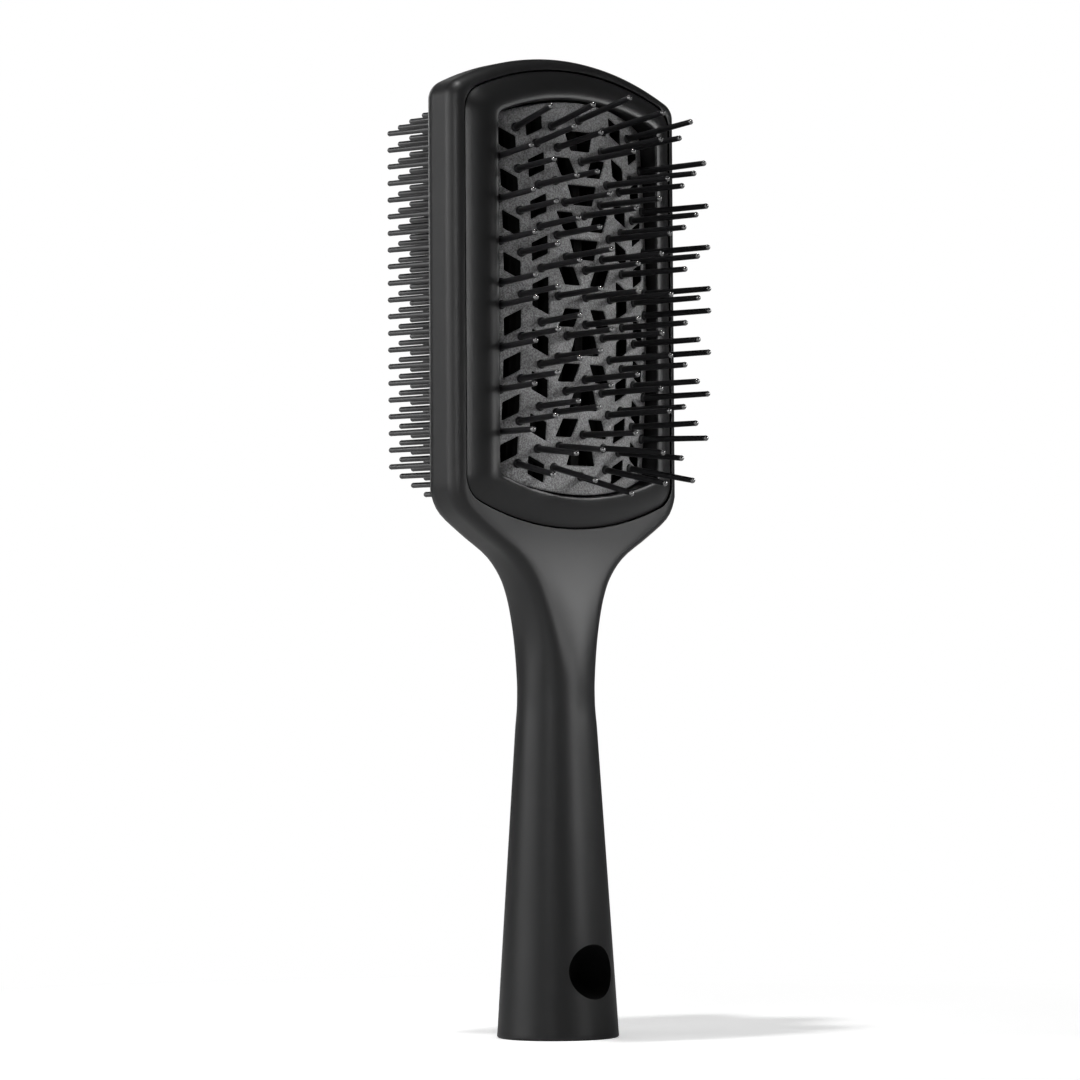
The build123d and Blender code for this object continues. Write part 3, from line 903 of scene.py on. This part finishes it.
def pin_template(root, tip, ball, reach, sink, steps, ball_steps, glossy_tip):
    """A tapered pin with a ball on its end, from sink below the face to its reach."""
    centre = reach - ball / 2
    start = acos(min(tip / ball, 1.0))
    ball_foot = centre - ball / 2 * sin(start)
    profile = [(root / 2, -sink), (root / 2, 0.0), (tip / 2, ball_foot)]
    for step in range(1, ball_steps + 1):
        bend = -start + (pi / 2 + start) * step / ball_steps
        profile.append((max(ball / 2 * cos(bend), 0.0), centre + ball / 2 * sin(bend)))
    return spun(profile, steps, ball_foot if glossy_tip else inf)


def stamp(bm, template, matrix):
    """Adds a copy of the template."""
    known = len(bm.verts)
    bm.from_mesh(template)
    bm.verts.ensure_lookup_table()
    bmesh.ops.transform(bm, matrix=matrix, verts=bm.verts[known:])


def standing(surface, x, y, direction):
    """Matrix that stands a template on the surface along a direction."""
    turn = direction.to_track_quat("Z", "Y").to_matrix().to_4x4()
    return Matrix.Translation((x, y, crown_depth(*surface, x, y))) @ turn


def surface_normal(surface, x, y):
    """Unit direction square to a crowned surface."""
    step = 1e-5
    dx = (crown_depth(*surface, x + step, y) - crown_depth(*surface, x - step, y)) / (2 * step)
    dy = (crown_depth(*surface, x, y + step) - crown_depth(*surface, x, y - step)) / (2 * step)
    return Vector((-dx, -dy, 1.0)).normalized()


def rib_bar(bm, x, width, surface, under, low):
    """An upright rib behind the plate, its top following the crown."""
    half_height = INNER_RIB if abs(x) < OUTER_RIBS_FROM else OUTER_RIB
    row = None
    for step in range(RIB_STEPS + 1):
        y = half_height * (2 * step / RIB_STEPS - 1)
        top = crown_depth(*surface, abs(x) + width / 2, y) - under
        corners = [Vector((x - width / 2, y, low)), Vector((x + width / 2, y, low)),
                   Vector((x + width / 2, y, top)), Vector((x - width / 2, y, top))]
        if row is None:
            row = ring(bm, corners)
        else:
            row = next_row(bm, row)
            place(row, corners)
    bmesh.ops.holes_fill(bm, edges=bm.edges, sides=0)
    # The rib is painted near-black: painted shade behind the plate
    for face in bm.faces:
        face.material_index = 2


class HAIRBRUSH_OT_front_pins(bpy.types.Operator):
    """Build nine ribs with the long front pins, and the collars where the pins leave the plate"""
    bl_idname = "hairbrush.front_pins"
    bl_label = "Front pins"

    def execute(self, context):
        s, p, plate = settings("body"), settings("pins"), settings("plate")
        surface = plate_surface()
        pin = pin_template(p.front_root, p.front_tip, p.front_ball, p.front_length, FRONT_SINK,
                           *FRONT_ROUND, glossy_tip=True)
        collar = spun(COLLAR, COLLAR_STEPS)
        collars = bmesh.new()
        for number, (x, width, pins) in enumerate(front_columns(), start=1):
            bm = bmesh.new()
            rib_bar(bm, x, width, surface, plate.thickness + RIB_GAP, s.web_thickness / 2)
            for px, py in pins:
                stamp(bm, pin, standing(surface, px, py, front_pin_lean(px, py)))
                stamp(collars, collar, standing(surface, px, py, surface_normal(surface, px, py)))
            bm.transform(front())
            clean(bm, 1e-7)
            obj = new_object(f"pin_row_{number}", bm, radians(50))
            finish_piece(obj, "nylon_black nylon_tip inside_black",
                         [f"front_pin_rib_{number}"])
        collars.transform(front())
        clean(collars, 1e-7)
        obj = new_object("pin_collars", collars, radians(60))
        finish_piece(obj, "nylon_black")
        return {"FINISHED"}


class HAIRBRUSH_OT_rear_pins(bpy.types.Operator):
    """Build thirteen columns of fine rear pins"""
    bl_idname = "hairbrush.rear_pins"
    bl_label = "Rear pins"

    def execute(self, context):
        p = settings("pins")
        surface = pad_surface()
        pin = pin_template(p.rear_root, p.rear_tip, p.rear_ball, p.rear_length, REAR_SINK,
                           *REAR_ROUND, glossy_tip=False)
        for number, pins in enumerate(rear_columns(), start=1):
            bm = bmesh.new()
            for x, y in pins:
                stamp(bm, pin, standing(surface, x, y, rear_pin_lean(x)))
            bm.transform(rear())
            clean(bm, 1e-7)
            obj = new_object(f"rear_pins_{number:02d}", bm, radians(50))
            finish_piece(obj, "nylon_fine", [f"rear_pin_strip_{number:02d}"])
        return {"FINISHED"}


# ------------------------ stage

SENSOR_WIDTH = 36.0
FLOOR_SIZE = 4.0
FLOOR_FADE = (0.13, 0.28)       # from the foot, where the shaded floor turns plain white
WORLD_LEVEL = 0.02              # of the light from all round
AT_HEAD, AT_MIDDLE = (0.0, 0.0, 0.21), (0.0, 0.0, 0.15)
AT_NECK, AT_WAIST = (0.0, 0.0, 0.13), (0.0, 0.0, 0.10)
# Name, watts, size, azimuth, elevation, distance, target and spread of each lamp, in degrees
LAMPS = (
    ("side_wall", 0.08, 0.4, -130, 14, 1.1, AT_HEAD, 20),
    ("left_low", 4.8, 0.8, -109, 8, 1.1, AT_MIDDLE, 180),
    ("camera_left", 0.06, 0.25, -57, 5, 1.1, AT_HEAD, 22),
    ("neck_front", 0.062, 0.15, 46, 20, 0.4, AT_NECK, 33),
    ("neck_side", 0.026, 0.15, 12, 5, 0.4, AT_WAIST, 34),
    ("back_fill", 3.0, 0.6, 165, 18, 1.2, AT_MIDDLE, 180),
    ("top_soft", 1.5, 0.6, -50, 65, 1.1, AT_HEAD, 180),
    ("shadow_key", 5.6, 0.06, -83, 78.5, 1.1, AT_MIDDLE, 180),
)


def stage_material():
    """Pale floor that looks white around the brush's shadow, and plain white further out."""
    material = bpy.data.materials.new("stage_white")
    material.use_nodes = True
    tree = material.node_tree
    shader, out = tree.nodes["Principled BSDF"], tree.nodes["Material Output"]
    shader.inputs["Base Color"].default_value = (0.9, 0.9, 0.9, 1.0)
    shader.inputs["Roughness"].default_value = 0.9
    shader.inputs["Specular IOR Level"].default_value = 0.0
    rays = node(tree, "ShaderNodeLightPath")
    lift = node(tree, "ShaderNodeEmission")
    white = node(tree, "ShaderNodeEmission")
    lifted = node(tree, "ShaderNodeMath", operation="MULTIPLY")
    link(rays, "Is Camera Ray", lifted, 0)
    lifted.inputs[1].default_value = settings("stage").floor_lift
    link(lifted, 0, lift, "Strength")
    near = node(tree, "ShaderNodeAddShader")
    link(shader, "BSDF", near, 0)
    link(lift, "Emission", near, 1)
    places = node(tree, "ShaderNodeTexCoord")
    away = node(tree, "ShaderNodeVectorMath", operation="LENGTH")
    link(places, "Object", away, 0)
    fade = node(tree, "ShaderNodeMapRange", interpolation_type="SMOOTHSTEP",
                From_Min=FLOOR_FADE[0], From_Max=FLOOR_FADE[1])
    link(away, "Value", fade, "Value")
    far = node(tree, "ShaderNodeMath", operation="MULTIPLY")
    link(fade, "Result", far, 0)
    link(rays, "Is Camera Ray", far, 1)
    both = node(tree, "ShaderNodeMixShader")
    link(far, 0, both, "Fac")
    link(near, "Shader", both, 1)
    link(white, "Emission", both, 2)
    link(both, "Shader", out, "Surface")
    return material


def soft_lamp(name, energy, size, azimuth, elevation, distance, target, spread):
    """A square soft lamp at an azimuth and elevation, turned to its target."""
    azimuth, elevation = radians(azimuth), radians(elevation)
    lamp = bpy.data.lights.new(name, "AREA")
    lamp.energy, lamp.size, lamp.spread = energy, size, radians(spread)
    obj = bpy.data.objects.new(name, lamp)
    bpy.context.scene.collection.objects.link(obj)
    away = Vector((sin(azimuth) * cos(elevation), -cos(azimuth) * cos(elevation), sin(elevation)))
    obj.location = Vector(target) + away * distance
    obj.rotation_euler = away.to_track_quat("Z", "Y").to_euler()
    obj.visible_camera = False


class HAIRBRUSH_OT_stage(bpy.types.Operator):
    """Build the camera, lamps, floor and backdrop"""
    bl_idname = "hairbrush.stage"
    bl_label = "Stage"

    def execute(self, context):
        scene = context.scene
        t = settings("stage")
        camera = bpy.data.cameras.new("photo_camera")
        camera.lens, camera.sensor_width = t.lens_mm, SENSOR_WIDTH
        obj = bpy.data.objects.new("photo_camera", camera)
        scene.collection.objects.link(obj)
        reach = camera.lens / camera.sensor_width
        pitch, yaw = atan2(t.horizon_share, reach), atan2(t.axis_share, reach)
        heading = Matrix.Rotation(t.azimuth + yaw, 4, "Z")
        tilt = Matrix.Rotation(pi / 2 + pitch, 4, "X")
        obj.matrix_world = (Matrix.Translation((sin(t.azimuth) * t.distance,
                                                -cos(t.azimuth) * t.distance, t.height))
                            @ heading @ tilt @ Matrix.Rotation(t.roll, 4, "Z"))
        scene.camera = obj
        bm = bmesh.new()
        bmesh.ops.create_grid(bm, x_segments=1, y_segments=1, size=FLOOR_SIZE)
        floor = new_object("floor", bm)
        floor.data.materials.append(stage_material())
        world = bpy.data.worlds.new("studio")
        scene.world = world
        world.use_nodes = True
        tree = world.node_tree
        back = tree.nodes["Background"]
        back.inputs["Color"].default_value = (1.0, 1.0, 1.0, 1.0)
        rays = node(tree, "ShaderNodeLightPath")
        level = node(tree, "ShaderNodeMapRange", To_Min=WORLD_LEVEL, To_Max=1.0)
        link(rays, "Is Camera Ray", level, "Value")
        link(level, "Result", back, "Strength")
        for lamp in LAMPS:
            soft_lamp(*lamp)
        scene.view_settings.view_transform = "Standard"
        return {"FINISHED"}


# ------------------------ panel and registration

OPERATORS = (
    HAIRBRUSH_OT_stage,
    HAIRBRUSH_OT_body,
    HAIRBRUSH_OT_bezels,
    HAIRBRUSH_OT_plate,
    HAIRBRUSH_OT_pad,
    HAIRBRUSH_OT_front_pins,
    HAIRBRUSH_OT_rear_pins,
)


class HAIRBRUSH_PT_panel(bpy.types.Panel):
    """Pieces of the brush"""
    bl_label = "Hairbrush"
    bl_idname = "HAIRBRUSH_PT_panel"
    bl_space_type = "VIEW_3D"
    bl_region_type = "UI"
    bl_category = "Hairbrush"

    def draw(self, context):
        for operator in OPERATORS:
            self.layout.operator(operator.bl_idname)
        for group, kind in GROUPS.items():
            box = self.layout.box()
            box.label(text=group.capitalize())
            for name in kind.__annotations__:
                box.prop(settings(group), name)


def register():
    """Adds the settings, the operators and the panel."""
    for group, kind in GROUPS.items():
        bpy.utils.register_class(kind)
        setattr(bpy.types.Scene, "hairbrush_" + group, bpy.props.PointerProperty(type=kind))
    for kind in OPERATORS + (HAIRBRUSH_PT_panel,):
        bpy.utils.register_class(kind)


def unregister():
    """Takes them out again."""
    for kind in (HAIRBRUSH_PT_panel,) + OPERATORS[::-1]:
        bpy.utils.unregister_class(kind)
    for group, kind in GROUPS.items():
        delattr(bpy.types.Scene, "hairbrush_" + group)
        bpy.utils.unregister_class(kind)


def main():
    """Builds everything."""
    register()
    bpy.ops.hairbrush.stage()
    bpy.ops.hairbrush.body()
    bpy.ops.hairbrush.bezels()
    bpy.ops.hairbrush.plate()
    bpy.ops.hairbrush.pad()
    bpy.ops.hairbrush.front_pins()
    bpy.ops.hairbrush.rear_pins()


if __name__ == "__main__":
    main()
